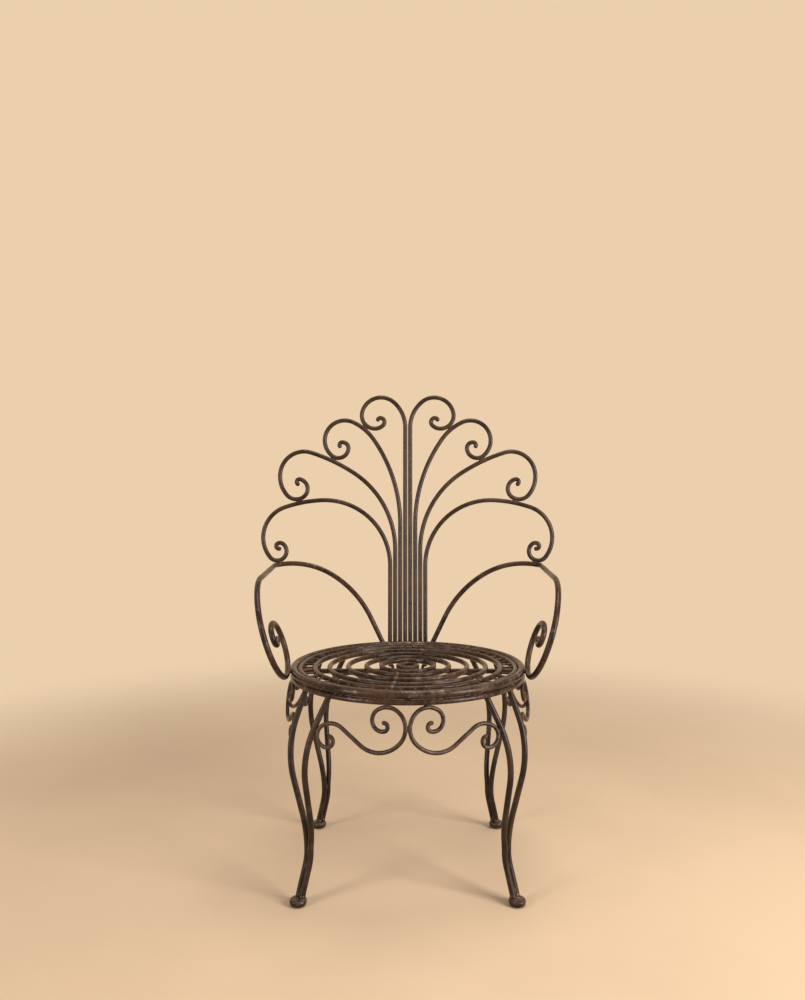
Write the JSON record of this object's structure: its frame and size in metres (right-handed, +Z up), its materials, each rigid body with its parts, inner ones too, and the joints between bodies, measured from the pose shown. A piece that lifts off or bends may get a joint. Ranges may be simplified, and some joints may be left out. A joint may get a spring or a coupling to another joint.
{
  "type": "wrought iron garden chair",
  "caption": "Round-seated garden armchair of bent round bar, with a fan-shaped back of scrolled bars, scrolled arms and scrolled aprons.",
  "frame": {"origin": "the centre of the bounding box at ground level, under the chair", "axes": "+Z up, the sitter faces -Y, +X to the right when the chair is seen from the front"},
  "size_m": [0.6812, 0.5326, 0.9687],
  "materials": {
    "iron": "dark brown-black satin paint over hand-forged iron, lightly worn"
  },
  "bodies": {
    "root": {"seat_rim_upper": "iron", "seat_rim_lower": "iron", "seat_rim_inner": "iron", "seat_ring_1": "iron", "seat_ring_2": "iron", "seat_ring_3": "iron", "seat_ring_4": "iron", "seat_ring_5": "iron", "seat_ring_centre": "iron", "seat_spokes": "iron", "seat_crossbar_side": "iron", "seat_crossbar_front": "iron", "seat_crossbar_back": "iron", "back_bar_left_1": "iron", "back_bar_left_2": "iron", "back_bar_left_3": "iron", "back_bar_left_4": "iron", "back_bar_right_1": "iron", "back_bar_right_2": "iron", "back_bar_right_3": "iron", "back_bar_right_4": "iron", "arm_left": "iron", "arm_right": "iron", "leg_front_left_inner": "iron", "leg_front_left_outer": "iron", "leg_front_right_inner": "iron", "leg_front_right_outer": "iron", "leg_back_left_inner": "iron", "leg_back_left_outer": "iron", "leg_back_right_inner": "iron", "leg_back_right_outer": "iron", "foot_front_left": "iron", "foot_front_right": "iron", "foot_back_left": "iron", "foot_back_right": "iron", "apron_front_left": "iron", "apron_front_right": "iron", "apron_back_left": "iron", "apron_back_right": "iron", "apron_left_front": "iron", "apron_left_back": "iron", "apron_right_front": "iron", "apron_right_back": "iron"}
  },
  "joints": []
}
